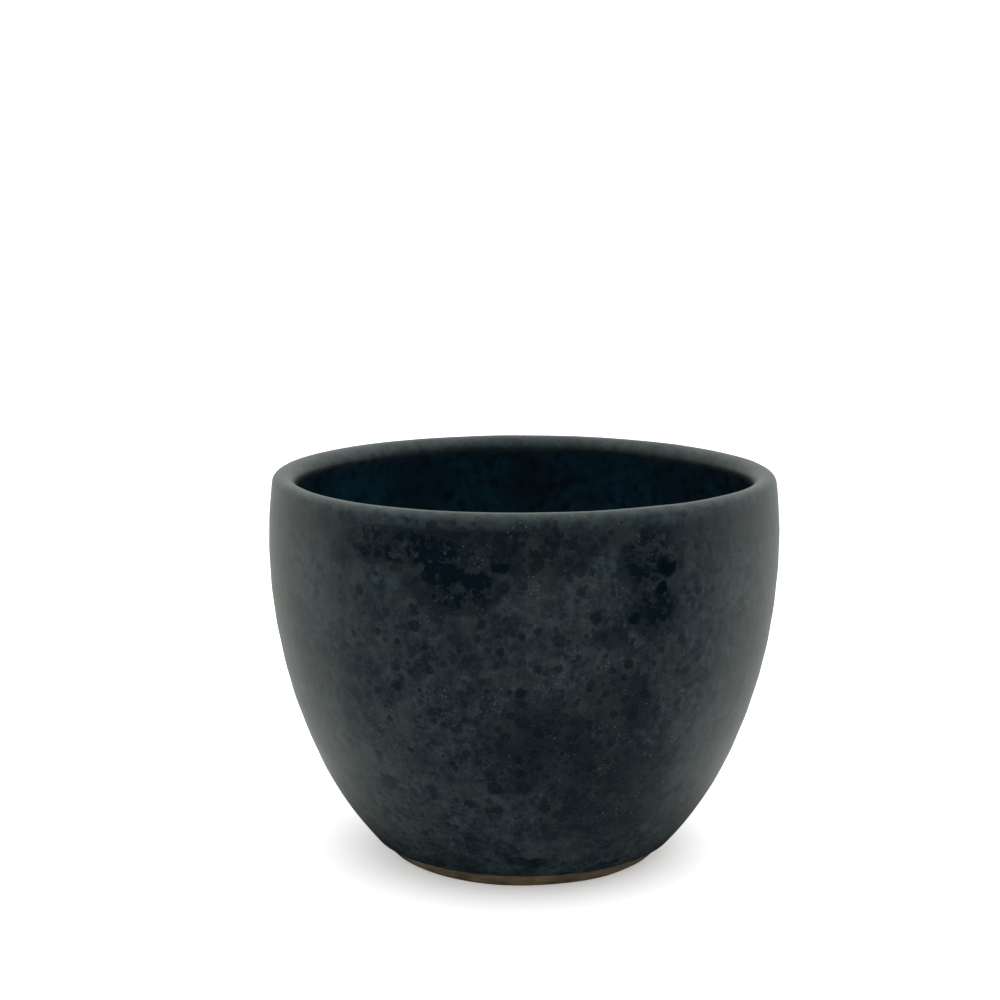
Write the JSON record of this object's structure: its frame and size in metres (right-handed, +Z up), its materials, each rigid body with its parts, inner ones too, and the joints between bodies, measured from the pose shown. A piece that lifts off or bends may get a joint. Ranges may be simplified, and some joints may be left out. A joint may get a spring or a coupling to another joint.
{
  "type": "empty candle cup",
  "caption": "Round-bellied stoneware candle cup, empty, with a dark satin glaze inside and out and a bare turned clay foot.",
  "frame": {"origin": "centre of the foot ring's standing face, on the table", "axes": "+Z up along the cup's axis of turning, towards the mouth; the cup is round, so +X and +Y are free"},
  "size_m": [0.09, 0.09, 0.0684],
  "materials": {
    "bare_stoneware": "bare fired stoneware, matt and slightly sandy",
    "outer_glaze": "satin-matt blue-black reduction glaze with smoky mottling and fine pale specks",
    "liner_glaze": "satin blue-black liner glaze, slightly glossier than the outside",
    "recess_glaze": "satin blue-black glaze under the foot"
  },
  "bodies": {
    "root": {"stoneware_body": "bare_stoneware", "outer_glaze": "outer_glaze", "liner_glaze": "liner_glaze", "recess_glaze": "recess_glaze"}
  },
  "joints": []
}
